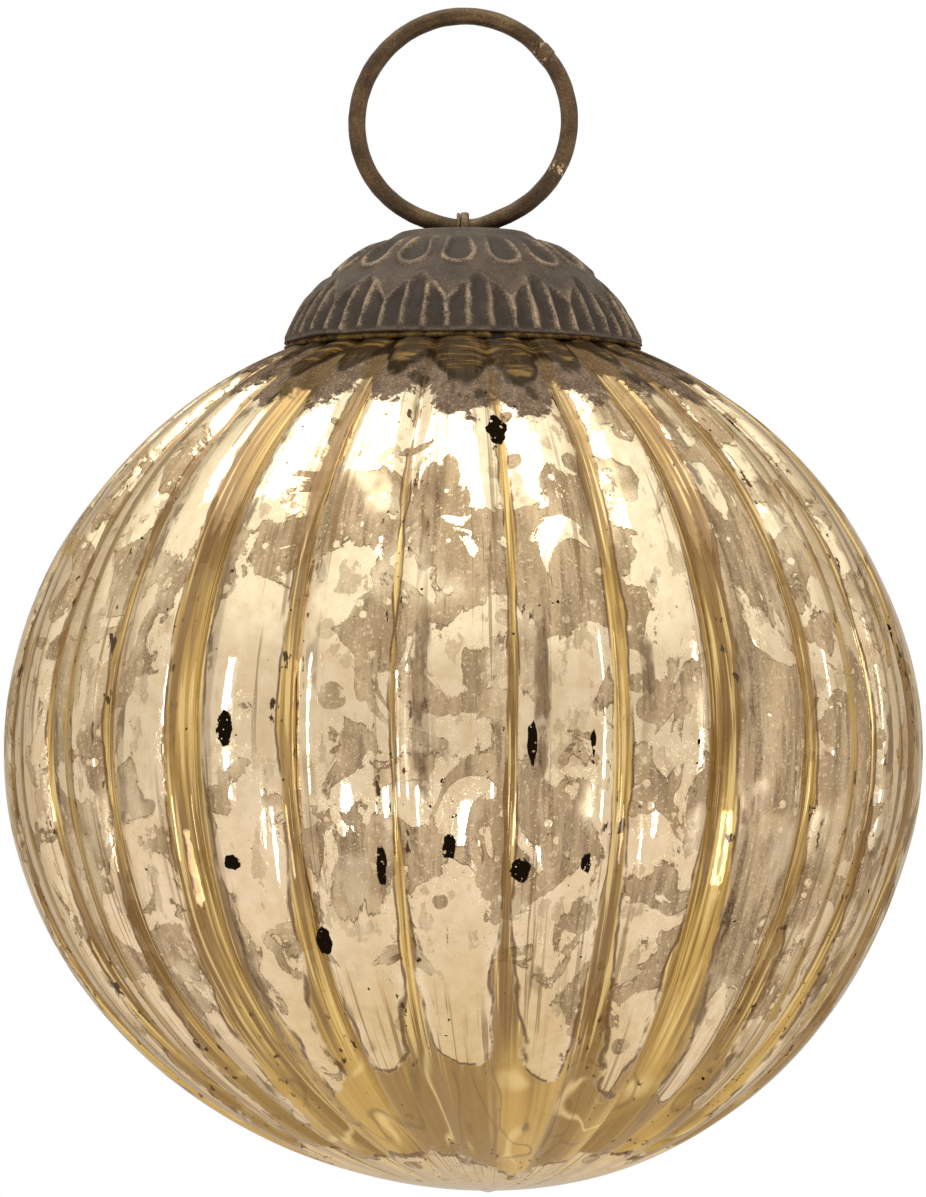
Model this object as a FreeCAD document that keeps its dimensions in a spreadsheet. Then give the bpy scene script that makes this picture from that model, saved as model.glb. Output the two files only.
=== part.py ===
import FreeCAD, Part
import math
import os

import Sketcher

# A hanging glass ball ornament. The origin is the hanging point, on the inside of the ring's top;
# +Z is up and the ring lies in the XZ plane. Lengths are in millimetres and angles in degrees.
DIMENSIONS = {
    # hanging ring: round wire bent to a circle, its butt joint brazed
    "ring_inner_radius": 8.1,
    "wire_radius": 0.75,
    "joint_angle": 40,
    "joint_gap_angle": 1.6,
    "braze_angle": 7,
    "braze_radius": 0.81,
    # hanger pin: flat strip folded over the ring's wire, its two legs splayed under the cap
    "strip_thickness": 0.5,
    "strip_width": 1.07,
    "eye_clearance": 0.05,
    "leg_reach": 4.3,
    "leg_bend_radius": 0.2,
    "leg_drop": 1.4,
    "strip_edge_radius": 0.12,
    # cap: pressed sheet with a dished top inside a raised bead, a fluted dome and an open rim
    "sheet": 0.5,
    "cap_floor_depth": 17.95,
    "cap_hole_radius": 1.5,
    "cap_floor_radius": 3.2,
    "bead_inner_radius": 3.9,
    "bead_top_radius": 4.6,
    "bead_outer_radius": 5.4,
    "bead_rise": 0.57,
    "bead_side_rise": 0.45,
    "bead_arc_radius": 1.1,
    "collar_radius": 6.8,
    "dome_radius": 14.64,
    "dome_centre_radius": 0.93,
    "dome_centre_depth": 31.62,
    "cap_rim_depth": 26.68,
    "flute_count": 48,
    "flute_radius": 1.1,
    "flute_depth": 0.16,
    "flute_top_depth": 21.8,
    "flute_bottom_depth": 25.9,
    # glass ball: two arcs of one radius, joined by a tighter belt, and a short open neck
    "ball_radius": 38.3,
    "upper_centre_depth": 62.3,
    "lower_centre_depth": 58.2,
    "belt_radius": 30,
    "glass_wall": 1.6,
    "neck_radius": 7.5,
    "neck_bore_radius": 6,
    "neck_top_depth": 20.9,
    "neck_lip_radius": 0.8,
    "neck_fillet": 1.4,
    "rib_count": 26,
    "rib_groove_depth": 1,
    "rib_groove_width": 2.4,
    "rib_groove_top_radius": 9.5,
    "rib_groove_bottom_radius": 10,
    # silvering on the inside of the glass, thickened to a thin liner
    "silver_thickness": 0.12,
    "silver_mouth_radius": 8.2,
    # cement that bonds the cap to the neck and shoulder of the glass
    "cement_top_depth": 21.6,
    "cement_rim_gap": 0.9,
    "cement_edge_radius": 13.2,
}

document = FreeCAD.newDocument("glass_ball_ornament")
sheet = document.addObject("Spreadsheet::Sheet", "dims")
for row, (alias, number) in enumerate(DIMENSIONS.items(), start=1):
    sheet.set(f"A{row}", alias)
    sheet.set(f"B{row}", str(number))
    sheet.setAlias(f"B{row}", alias)
document.recompute()

# Two places closer than this are the same place, and a cut smaller than this cuts nothing.
TINY = 0.001

RING_RADIUS = "(dims.ring_inner_radius + dims.wire_radius)"
RING_CENTRE = "(-dims.ring_inner_radius)"
WIRE_BOTTOM = "(-2 * dims.ring_inner_radius - dims.wire_radius)"
BELT_OFFSET = "((dims.upper_centre_depth - dims.lower_centre_depth) / 2)"
BELT_CENTRE = f"sqrt((dims.ball_radius - dims.belt_radius)^2 - {BELT_OFFSET}^2)"


def value(expression):
    """The number that an expression over the sheet's cells gives."""
    return float(sheet.evalExpression(expression))


def plane(body, role):
    """One of a body's own origin planes or axes."""
    return next(item for item in body.Origin.OriginFeatures if item.Role == role)


def new_body(name):
    body = document.addObject("PartDesign::Body", name)
    body.Label = name
    return body


def new_sketch(body, name, role):
    sketch = body.newObject("Sketcher::SketchObject", name)
    sketch.AttachmentSupport = [(plane(body, role), "")]
    sketch.MapMode = "FlatFace"
    return sketch


def bind(sketch, kind, *where, expression):
    """Adds a dimension to a sketch and ties its size to the sheet."""
    number = value(expression)
    index = sketch.addConstraint(Sketcher.Constraint(kind, *where, number))
    sketch.setExpression(f"Constraints[{index}]", expression)


def bind_point(sketch, curve, end, across, up):
    """Ties the place of one end of a curve to the sheet."""
    bind(sketch, "DistanceX", -1, 1, curve, end, expression=across)
    bind(sketch, "DistanceY", -1, 1, curve, end, expression=up)


def arc_between(start, end, radius, turn):
    """The shorter arc of that radius from start to end; turn is 1 for anticlockwise, -1 for clockwise."""
    chord = end - start
    to_centre = math.sqrt(radius**2 - (chord.Length / 2) ** 2)
    sideways = FreeCAD.Vector(-chord.y, chord.x, 0).normalize() * (turn * to_centre)
    circle = Part.Circle((start + end) / 2 + sideways, FreeCAD.Vector(0, 0, 1), radius)
    first, last = (start, end) if turn > 0 else (end, start)
    return Part.ArcOfCircle(circle, circle.parameter(first), circle.parameter(last))


def outline(sketch, steps):
    """Draws a closed chain of lines and arcs, with every corner and radius tied to the sheet.

    A step is (across, up) for a corner where a line begins, or (across, up, radius, turn) for a
    corner where an arc begins.
    """
    corners = [FreeCAD.Vector(value(step[0]), value(step[1]), 0) for step in steps]
    curves = []
    for index, step in enumerate(steps):
        start = corners[index]
        end = corners[(index + 1) % len(steps)]
        if len(step) == 2:
            curves.append((sketch.addGeometry(Part.LineSegment(start, end)), 1, 2))
            continue
        arc = arc_between(start, end, value(step[2]), step[3])
        ends = (1, 2) if step[3] > 0 else (2, 1)
        curves.append((sketch.addGeometry(arc), *ends))
        bind(sketch, "Radius", curves[-1][0], expression=step[2])
    for index, (curve, near_end, far_end) in enumerate(curves):
        bind_point(sketch, curve, near_end, steps[index][0], steps[index][1])
        following, its_start, _ = curves[(index + 1) % len(curves)]
        sketch.addConstraint(
            Sketcher.Constraint("Coincident", curve, far_end, following, its_start)
        )


def revolve(body, sketch, name):
    """Turns a sketch a full turn about the body's vertical axis."""
    feature = body.newObject("PartDesign::Revolution", name)
    feature.Profile = sketch
    feature.ReferenceAxis = (plane(body, "Z_Axis"), [""])
    feature.Angle = 360


def sideways_groove(body, section, name, angle, upwards):
    """Sweeps a section along an arc, about the line across its sketch, and cuts it away."""
    before = body.Shape.Volume
    cut = body.newObject("PartDesign::Groove", name)
    cut.Profile = section
    cut.ReferenceAxis = (section, ["V_Axis"])
    cut.Reversed = upwards
    cut.setExpression("Angle", angle)
    document.recompute()
    if body.Shape.Volume >= before - TINY:
        raise RuntimeError(f"{name} cuts nothing")
    return cut


def pattern(body, features, name, count):
    """Repeats features evenly about the body's vertical axis."""
    polar = body.newObject("PartDesign::PolarPattern", name)
    polar.Originals = features
    polar.Axis = (plane(body, "Z_Axis"), [""])
    polar.Angle = 360
    polar.setExpression("Occurrences", count)
    body.Tip = polar


def torus_section(name, tube_radius, start_angle, sweep):
    """A length of round bar along the ring's circle, from an angle above the +X direction."""
    torus = document.addObject("Part::Torus", name)
    torus.setExpression("Radius1", RING_RADIUS)
    torus.setExpression("Radius2", tube_radius)
    torus.setExpression("Angle3", sweep)
    torus.setExpression("Placement.Base.z", RING_CENTRE)
    upright = FreeCAD.Rotation(FreeCAD.Vector(1, 0, 0), 90)
    turn = FreeCAD.Rotation(FreeCAD.Vector(0, 0, 1), value(start_angle))
    torus.Placement = FreeCAD.Placement(FreeCAD.Vector(0, 0, value(RING_CENTRE)), upright * turn)
    return torus


def hanging_ring():
    start = "(dims.joint_angle + dims.joint_gap_angle / 2)"
    ring = torus_section("hanging_ring", "dims.wire_radius", start, "360 - dims.joint_gap_angle")
    ring.Label = "hanging_ring"
    return ring


def ring_braze(ring):
    """Filler metal in the ring's butt joint and in a thin collar around its two ends."""
    start = "(dims.joint_angle - dims.braze_angle / 2)"
    bead = torus_section("braze_bead", "dims.braze_radius", start, "dims.braze_angle")
    braze = document.addObject("Part::Cut", "ring_braze")
    braze.Base = bead
    braze.Tool = ring
    braze.Label = "ring_braze"
    return braze


def hanger_pin():
    """A strip folded over the ring's wire, down through the cap's hole, its legs splayed below."""
    body = new_body("hanger_pin")
    inner = "(dims.wire_radius + dims.eye_clearance)"
    outer = f"({inner} + dims.strip_thickness)"
    splay_top = f"({WIRE_BOTTOM} - dims.leg_drop - dims.leg_bend_radius)"
    splay_bottom = f"({splay_top} - dims.strip_thickness)"
    bend_end = f"({outer} + dims.leg_bend_radius)"
    bend_start = f"({splay_top} + dims.leg_bend_radius)"
    thick_bend = "(dims.leg_bend_radius + dims.strip_thickness)"
    side = new_sketch(body, "strip_side", "YZ_Plane")
    outline(
        side,
        [
            (outer, WIRE_BOTTOM, outer, 1),
            ("0", f"({WIRE_BOTTOM} + {outer})", outer, 1),
            (f"(-{outer})", WIRE_BOTTOM),
            (f"(-{outer})", bend_start, "dims.leg_bend_radius", -1),
            (f"(-{bend_end})", splay_top),
            ("(-dims.leg_reach)", splay_top),
            ("(-dims.leg_reach)", splay_bottom),
            (f"(-{bend_end})", splay_bottom, thick_bend, 1),
            (f"(-{inner})", bend_start),
            (f"(-{inner})", WIRE_BOTTOM, inner, -1),
            ("0", f"({WIRE_BOTTOM} + {inner})", inner, -1),
            (inner, WIRE_BOTTOM),
            (inner, bend_start, thick_bend, 1),
            (bend_end, splay_bottom),
            ("dims.leg_reach", splay_bottom),
            ("dims.leg_reach", splay_top),
            (bend_end, splay_top, "dims.leg_bend_radius", -1),
            (outer, bend_start),
        ],
    )
    strip = body.newObject("PartDesign::Pad", "strip")
    strip.Profile = side
    strip.Midplane = True
    strip.setExpression("Length", "dims.strip_width")
    document.recompute()
    rounded = body.newObject("PartDesign::Fillet", "strip_edges")
    half_width = value("dims.strip_width") / 2
    long_edges = [
        f"Edge{number}"
        for number, edge in enumerate(strip.Shape.Edges, start=1)
        if edge.BoundBox.XLength < TINY and abs(abs(edge.CenterOfMass.x) - half_width) < TINY
    ]
    rounded.Base = (strip, long_edges)
    rounded.setExpression("Radius", "dims.strip_edge_radius")
    return body


def dome_height(across, radius):
    """The height of the cap's dome, or of its inside, at a distance from the axis."""
    return f"(sqrt({radius}^2 - ({across} - dims.dome_centre_radius)^2) - dims.dome_centre_depth)"


def dome_reach(depth, radius):
    """The distance from the axis of the cap's dome, or of its inside, at a depth."""
    return f"(dims.dome_centre_radius + sqrt({radius}^2 - (dims.dome_centre_depth - {depth})^2))"


def cap_shell():
    """Sheet metal: a dished top with the pin's hole, a raised bead, and a fluted dome."""
    body = new_body("cap_shell")
    floor = "(-dims.cap_floor_depth)"
    bead_side = f"({floor} + dims.bead_side_rise)"
    bead_top = f"({floor} + dims.bead_rise)"
    dome_start = dome_height("dims.collar_radius", "dims.dome_radius")
    rim_radius = dome_reach("dims.cap_rim_depth", "dims.dome_radius")
    under_dome = "(dims.dome_radius - dims.sheet)"
    under_rim = dome_reach("dims.cap_rim_depth", under_dome)
    under_collar = dome_height("dims.collar_radius", under_dome)
    profile = new_sketch(body, "cap_profile", "XZ_Plane")
    outline(
        profile,
        [
            ("dims.cap_hole_radius", floor),
            ("dims.cap_hole_radius", f"({floor} - dims.sheet)"),
            ("dims.bead_outer_radius", f"({floor} - dims.sheet)"),
            ("dims.collar_radius", under_collar, under_dome, -1),
            (under_rim, "(-dims.cap_rim_depth)"),
            (rim_radius, "(-dims.cap_rim_depth)", "dims.dome_radius", 1),
            ("dims.collar_radius", dome_start),
            ("dims.bead_outer_radius", bead_side, "dims.bead_arc_radius", 1),
            ("dims.bead_top_radius", bead_top, "dims.bead_arc_radius", 1),
            ("dims.bead_inner_radius", bead_side),
            ("dims.cap_floor_radius", floor),
        ],
    )
    revolve(body, profile, "cap_dome")
    document.recompute()
    flute = new_sketch(body, "flute_section", "XY_Plane")
    tilt = "(-asin((dims.dome_centre_depth - dims.flute_bottom_depth) / dims.dome_radius))"
    sweep = "(asin((dims.dome_centre_depth - dims.flute_top_depth) / dims.dome_radius))"
    flute.AttachmentOffset = FreeCAD.Placement(
        FreeCAD.Vector(value("dims.dome_centre_radius"), 0, value("-dims.dome_centre_depth")),
        FreeCAD.Rotation(FreeCAD.Vector(0, 1, 0), value(tilt)),
    )
    flute.setExpression("AttachmentOffset.Base.x", "dims.dome_centre_radius")
    flute.setExpression("AttachmentOffset.Base.z", "-dims.dome_centre_depth")
    centre = "(dims.dome_radius + dims.flute_radius - dims.flute_depth)"
    place = FreeCAD.Vector(value(centre), 0, 0)
    round_section = flute.addGeometry(
        Part.Circle(place, FreeCAD.Vector(0, 0, 1), value("dims.flute_radius"))
    )
    bind_point(flute, round_section, 3, centre, "0")
    bind(flute, "Radius", round_section, expression="dims.flute_radius")
    cut = sideways_groove(body, flute, "flute", f"({tilt} + {sweep})", upwards=True)
    pattern(body, [cut], "flutes", "dims.flute_count")
    return body


def glass_points(depth_in):
    """Corners of the ball's outline, set in from the outer face by a distance.

    They are where its upper arc meets the belt, where the belt meets its lower arc, and its pole.
    """
    reach = f"((dims.ball_radius - {depth_in}) / (dims.ball_radius - dims.belt_radius))"
    across = f"({BELT_CENTRE} * {reach})"
    upper = (across, f"({BELT_OFFSET} * {reach} - dims.upper_centre_depth)")
    lower = (across, f"(-{BELT_OFFSET} * {reach} - dims.lower_centre_depth)")
    pole = ("0", f"({depth_in} - dims.lower_centre_depth - dims.ball_radius)")
    return upper, lower, pole


def neck_fillet(neck_radius, shoulder_radius):
    """Both ends of a fillet between the neck's upright wall and the ball's upper arc."""
    centre = f"({neck_radius} + dims.neck_fillet)"
    outer = f"({shoulder_radius} + dims.neck_fillet)"
    rise = f"sqrt({outer}^2 - {centre}^2)"
    on_neck = (neck_radius, f"({rise} - dims.upper_centre_depth)")
    share = f"({shoulder_radius} / {outer})"
    on_shoulder = (f"({centre} * {share})", f"({rise} * {share} - dims.upper_centre_depth)")
    return on_neck, on_shoulder


def glass_ball():
    """A blown shell with an open neck and rib grooves down its outside."""
    body = new_body("glass_ball")
    radius = "dims.ball_radius"
    belt = "dims.belt_radius"
    bore_radius = "(dims.ball_radius - dims.glass_wall)"
    bore_belt = "(dims.belt_radius - dims.glass_wall)"
    upper, lower, pole = glass_points("0")
    bore_upper, bore_lower, bore_pole = glass_points("dims.glass_wall")
    neck, shoulder = neck_fillet("dims.neck_radius", radius)
    bore_neck, bore_shoulder = neck_fillet("dims.neck_bore_radius", bore_radius)
    lip = "(-dims.neck_top_depth)"
    profile = new_sketch(body, "glass_profile", "XZ_Plane")
    outline(
        profile,
        [
            ("dims.neck_radius", lip),
            (*neck, "dims.neck_fillet", 1),
            (*shoulder, radius, -1),
            (*upper, belt, -1),
            (*lower, radius, -1),
            pole,
            (*bore_pole, bore_radius, 1),
            (*bore_lower, bore_belt, 1),
            (*bore_upper, bore_radius, 1),
            (*bore_shoulder, "dims.neck_fillet", -1),
            bore_neck,
            ("dims.neck_bore_radius", lip, "dims.neck_lip_radius", -1),
        ],
    )
    revolve(body, profile, "blown_shell")
    document.recompute()
    upper_cut = rib_groove(body, "upper_rib_groove", "dims.upper_centre_depth", True)
    document.recompute()
    lower_cut = rib_groove(body, "lower_rib_groove", "dims.lower_centre_depth", False)
    pattern(body, [upper_cut, lower_cut], "rib_grooves", "dims.rib_count")
    return body


def rib_groove(body, name, centre_depth, upwards):
    """A V-groove along a meridian, from beside one of the ball's centres towards its pole."""
    section = new_sketch(body, f"{name}_section", "XY_Plane")
    section.AttachmentOffset = FreeCAD.Placement(
        FreeCAD.Vector(0, 0, -value(centre_depth)), FreeCAD.Rotation()
    )
    section.setExpression("AttachmentOffset.Base.z", f"-{centre_depth}")
    tip = "(dims.ball_radius - dims.rib_groove_depth)"
    mouth = "(dims.ball_radius + dims.rib_groove_depth)"
    outline(
        section,
        [
            (tip, "0"),
            (mouth, "(-dims.rib_groove_width)"),
            (mouth, "dims.rib_groove_width"),
        ],
    )
    end = "dims.rib_groove_top_radius" if upwards else "dims.rib_groove_bottom_radius"
    return sideways_groove(body, section, name, f"acos({end} / dims.ball_radius)", upwards)


def silver_lining():
    """The silvering: a thin liner over the inside of the glass, open at the neck."""
    body = new_body("silver_lining")
    outer = "(dims.ball_radius - dims.glass_wall)"
    inner = f"({outer} - dims.silver_thickness)"
    outer_belt = "(dims.belt_radius - dims.glass_wall)"
    inner_belt = f"({outer_belt} - dims.silver_thickness)"
    upper, lower, pole = glass_points("dims.glass_wall")
    under_upper, under_lower, under_pole = glass_points("(dims.glass_wall + dims.silver_thickness)")
    mouth = "dims.silver_mouth_radius"
    profile = new_sketch(body, "silver_profile", "XZ_Plane")
    outline(
        profile,
        [
            (mouth, f"(sqrt({outer}^2 - {mouth}^2) - dims.upper_centre_depth)", outer, -1),
            (*upper, outer_belt, -1),
            (*lower, outer, -1),
            pole,
            (*under_pole, inner, 1),
            (*under_lower, inner_belt, 1),
            (*under_upper, inner, 1),
            (mouth, f"(sqrt({inner}^2 - {mouth}^2) - dims.upper_centre_depth)"),
        ],
    )
    revolve(body, profile, "silver_film")
    return body


def cap_cement():
    """The bond between the cap's inside and the glass, open in the middle for the pin's legs."""
    body = new_body("cap_cement")
    under_dome = "(dims.dome_radius - dims.sheet)"
    neck, shoulder = neck_fillet("dims.neck_radius", "dims.ball_radius")
    edge = "dims.cement_edge_radius"
    edge_height = f"(sqrt(dims.ball_radius^2 - {edge}^2) - dims.upper_centre_depth)"
    bottom = "(dims.cap_rim_depth - dims.cement_rim_gap)"
    profile = new_sketch(body, "cement_profile", "XZ_Plane")
    outline(
        profile,
        [
            ("dims.neck_radius", "(-dims.cement_top_depth)"),
            (*neck, "dims.neck_fillet", 1),
            (*shoulder, "dims.ball_radius", -1),
            (edge, edge_height),
            (dome_reach(bottom, under_dome), f"(-{bottom})", under_dome, 1),
            (dome_reach("dims.cement_top_depth", under_dome), "(-dims.cement_top_depth)"),
        ],
    )
    revolve(body, profile, "cement_ring")
    return body


def write_parts(parts):
    """Checks every object of the document and every part's shape, then writes the parts."""
    for item in document.Objects:
        if {"Invalid", "Error"} & set(item.State):
            raise RuntimeError(f"{item.Label} did not build: {item.State}")
    for part in parts:
        if part.Shape.isNull() or not part.Shape.isValid():
            raise RuntimeError(f"{part.Label} has no valid shape")
    os.makedirs("parts", exist_ok=True)
    for part in parts:
        part.Shape.exportStep(f"parts/{part.Label}.step")
        box = part.Shape.BoundBox
        print(f"{part.Label}: {part.Shape.Volume:.2f} mm3, z {box.ZMin:.2f} to {box.ZMax:.2f}")


ring = hanging_ring()
parts = [
    ring,
    ring_braze(ring),
    hanger_pin(),
    cap_shell(),
    cap_cement(),
    glass_ball(),
    silver_lining(),
]
document.recompute()
write_parts(parts)
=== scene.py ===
import math
from types import SimpleNamespace

import bmesh
import bpy
import numpy as np
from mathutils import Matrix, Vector, noise


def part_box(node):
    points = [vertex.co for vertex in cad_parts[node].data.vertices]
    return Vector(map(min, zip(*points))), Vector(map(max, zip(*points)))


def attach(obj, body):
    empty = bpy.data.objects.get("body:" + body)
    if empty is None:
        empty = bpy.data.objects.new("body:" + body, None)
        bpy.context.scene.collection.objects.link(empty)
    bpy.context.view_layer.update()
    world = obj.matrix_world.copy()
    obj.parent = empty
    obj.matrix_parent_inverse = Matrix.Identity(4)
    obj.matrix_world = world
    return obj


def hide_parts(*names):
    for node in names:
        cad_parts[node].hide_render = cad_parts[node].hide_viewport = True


# The visual model of a glass ball ornament: the silvered ball, its cap and cement, the pin, the
# ring and its braze. Lengths are in millimetres unless a comment says otherwise.
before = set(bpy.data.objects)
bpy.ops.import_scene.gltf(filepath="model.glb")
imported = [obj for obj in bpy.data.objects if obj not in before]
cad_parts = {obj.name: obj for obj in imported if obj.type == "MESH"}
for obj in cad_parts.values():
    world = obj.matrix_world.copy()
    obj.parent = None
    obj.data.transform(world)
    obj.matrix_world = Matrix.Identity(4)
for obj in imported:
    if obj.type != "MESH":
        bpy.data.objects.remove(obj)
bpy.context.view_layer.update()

MM = 0.001

# Places and sizes that the frame gives, in millimetres.
ring_low, ring_high = (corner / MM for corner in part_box("hanging_ring"))
cap_low, cap_high = (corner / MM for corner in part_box("cap_shell"))
glass_low, glass_high = (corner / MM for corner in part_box("glass_ball"))
WIRE_RADIUS = (ring_high.y - ring_low.y) / 2
RING_RADIUS = ring_high.x - WIRE_RADIUS
RING_CENTRE = (ring_high.z + ring_low.z) / 2
WIRE_BOTTOM = ring_low.z + WIRE_RADIUS
CAP_RIM = cap_low.z

# The ball: two arcs of one radius, with their centres on the axis, joined by a tighter belt.
BALL_RADIUS = 38.27
BELT_RADIUS = 30.0
UPPER_CENTRE = -62.3
LOWER_CENTRE = glass_low.z + 38.3
NECK_RADIUS = 7.5
NECK_TOP = glass_high.z
GLASS_WALL = 1.6
RIBS = 26


# Mesh helpers -----
def grid_mesh(name, grid, values=None, poles=(None, None)):
    """A mesh through rows of points in millimetres. Each row is a ring; a pole closes an end row.

    values are the fields that its points carry, each shaped like the grid.
    """
    rows, columns = grid.shape[:2]
    points = [tuple(point) for point in (grid.reshape(-1, 3) * MM)]
    faces = []
    for row in range(rows - 1):
        below = row * columns
        above = below + columns
        for column in range(columns):
            beside = (column + 1) % columns
            faces.append((below + column, below + beside, above + beside, above + column))
    for pole, row in zip(poles, (0, rows - 1)):
        if pole is None:
            continue
        points.append(tuple(pole * MM))
        for column in range(columns):
            beside = (column + 1) % columns
            faces.append((row * columns + column, row * columns + beside, len(points) - 1))
    mesh = bpy.data.meshes.new(name)
    mesh.from_pydata(points, [], faces)
    carry_fields(mesh, values or {}, poles)
    face_outward(mesh)
    mesh.shade_smooth()
    return mesh


def carry_fields(mesh, values, poles):
    """Gives a mesh's points the values that materials read. A pole takes the mean of its row."""
    for key, field in values.items():
        ends = [field[row].mean(axis=0) for pole, row in zip(poles, (0, -1)) if pole is not None]
        flat = np.append(field.reshape(-1), np.array(ends).reshape(-1)).astype(np.float32)
        kind, part = ("FLOAT_VECTOR", "vector") if field.ndim == 3 else ("FLOAT", "value")
        mesh.attributes.new(key, kind, "POINT").data.foreach_set(part, flat)


def end_middles(grid):
    """The middles of a grid's first and last rows."""
    return grid[0].mean(axis=0), grid[-1].mean(axis=0)


def closed_mesh(name, grid, values):
    """A mesh whose section is closed: it ends on a copy of the grid's first row."""
    values = {key: np.concatenate([field, field[:1]]) for key, field in values.items()}
    return grid_mesh(name, np.concatenate([grid, grid[:1]]), values)


def face_outward(mesh):
    """Turns a mesh's faces outward."""
    shape = bmesh.new()
    shape.from_mesh(mesh)
    bmesh.ops.recalc_face_normals(shape, faces=shape.faces)
    shape.to_mesh(mesh)
    shape.free()


def join_meshes(name, meshes):
    """One mesh of several closed shells."""
    whole = bmesh.new()
    for mesh in meshes:
        whole.from_mesh(mesh)
    joined = bpy.data.meshes.new(name)
    whole.to_mesh(joined)
    whole.free()
    joined.shade_smooth()
    return joined


def add_piece(name, mesh, material, body, slot, *replaced):
    """A piece that rides a body and takes the place of the CAD nodes named in replaced."""
    piece = bpy.data.objects.new(name, mesh)
    bpy.context.scene.collection.objects.link(piece)
    mesh.materials.append(material)
    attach(piece, body)
    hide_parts(*replaced)


def smooth_noise(points, size, seed):
    """A gentle random field over points in millimetres, from about -1 to 1."""
    shift = Vector((seed * 17.3, seed * 5.1, -seed * 9.7))
    flat = points.reshape(-1, 3)
    field = [noise.noise(Vector(point) / size + shift) for point in flat]
    return np.array(field).reshape(points.shape[:-1])


def ramp(value, low, high):
    """Goes smoothly from 0 at low to 1 at high."""
    share = np.clip((value - low) / (high - low), 0, 1)
    return share * share * (3 - 2 * share)


def hump(distance, half_width):
    """Is 1 at no distance and falls off smoothly to both sides."""
    return np.exp(-((distance / half_width) ** 2))


def arc(centre, radius, start, end, count):
    """Points on an arc in the (radius, height) plane; angles in degrees from level."""
    angles = np.radians(np.linspace(start, end, count))
    return np.stack([centre[0] + radius * np.cos(angles), centre[1] + radius * np.sin(angles)], 1)


def around_axis(radii, heights, angles):
    """Points at radii and heights, turned about the axis from the front towards +X."""
    radii, heights, angles = np.broadcast_arrays(radii, heights, angles)
    return np.stack([radii * np.sin(angles), -radii * np.cos(angles), heights], -1)


# The ball's shape -----
COLUMNS_PER_RIB = 22
GATHERING = 0.62  # how closely the mesh's columns gather in the grooves, from 0 to 1
INNER_GAP = 0.6  # keeps the plain inside clear of the deepest groove
NECK_FILLET = 1.4
NECK_WALL = 1.5

# The grooves' places in degrees, and how far each may be from even.
FIRST_GROOVE = 6.0
GROOVE_DRIFT = 1.2
GROOVE_JITTER = 0.45
GROOVE_WANDER = 0.35
WANDER_LENGTH = 13.0  # millimetres

GROOVE_HALF_WIDTH = 1.9
GROOVE_DEPTH = 0.8
RIB_BULGE = 0.045  # as a share of a rib's width
LONG_SWELL = 0.16
SHORT_SWELL = 0.05
SKIN_INSET = 0.17  # leaves room inside the CAD box for the swelling
LEAN_START = -75.0
LEAN = 2.1

# Degrees from the front: its shallow grooves' reach, and the strong amber, at the back as well.
FRONT_FADE = 19.0
STRONG_AMBER = 35.0
SIDE_AMBER = 76.0


def ball_outline(inset, counts):
    """The ball's (radius, height) outline from the bottom pole up to the shoulder under the cap.

    inset is how far inside the outer skin it runs, and counts the points on each of its arcs.
    """
    offset = (LOWER_CENTRE - UPPER_CENTRE) / 2
    belt_centre = (math.sqrt((BALL_RADIUS - BELT_RADIUS) ** 2 - offset**2), LOWER_CENTRE - offset)
    turn = math.degrees(math.asin(offset / (BALL_RADIUS - BELT_RADIUS)))
    radius = BALL_RADIUS - inset
    neck_reach = NECK_RADIUS + NECK_FILLET if inset == 0 else NECK_RADIUS
    shoulder = math.degrees(math.acos(neck_reach / (radius + NECK_FILLET)))
    lower = arc((0, LOWER_CENTRE), radius, -89, -turn, counts[0])
    belt = arc(belt_centre, BELT_RADIUS - inset, -turn, turn, counts[1])
    upper = arc((0, UPPER_CENTRE), radius, turn, shoulder, counts[2])
    return np.concatenate([lower, belt[1:], upper[1:]])


def shell_outline():
    """The shell's outline: up the outside, over the neck's lip and back down the inside.

    The second value says how many of its points are on the outside.
    """
    outside = ball_outline(0, (66, 18, 62))
    base_radius, base = outside[-1]
    neck = np.array([
        (base_radius - 0.55, base + 0.25),
        (NECK_RADIUS + 0.12, base + 0.9),
        (NECK_RADIUS, base + 1.5),
        (NECK_RADIUS, NECK_TOP - 0.7),
        (NECK_RADIUS - 0.25, NECK_TOP - 0.2),
        (NECK_RADIUS - 0.75, NECK_TOP),
        (NECK_RADIUS - 1.25, NECK_TOP - 0.2),
        (NECK_RADIUS - NECK_WALL, NECK_TOP - 0.7),
        (NECK_RADIUS - NECK_WALL, base + 0.4),
    ])
    inside = ball_outline(GLASS_WALL + INNER_GAP, (9, 3, 9))[::-1]
    return np.concatenate([outside, neck, inside]), len(outside)


def groove_plan():
    """Each groove's place, depth, width, amber and wandering, as uneven as in blown glass."""
    rng = np.random.default_rng(26)
    even = FIRST_GROOVE + np.arange(RIBS) * 360 / RIBS
    place = even + GROOVE_DRIFT * np.sin(np.radians(even))
    place = place + rng.uniform(-GROOVE_JITTER, GROOVE_JITTER, RIBS)
    front = hump((place + 180) % 360 - 180, FRONT_FADE)
    off_axis = np.abs((place + 90) % 180 - 90)
    extra_amber = 0.5 * hump(off_axis - STRONG_AMBER, 8) + 0.6 * hump(off_axis - SIDE_AMBER, 16)
    return SimpleNamespace(
        place=place,
        depth=rng.uniform(0.7, 1.15, RIBS) * (1 - 0.45 * front),
        width=rng.uniform(0.8, 1.2, RIBS),
        amber=rng.uniform(-0.45, 0.0, RIBS) - 0.3 * front + extra_amber,
        phase=rng.uniform(0, 2 * np.pi, RIBS),
    )


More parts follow.
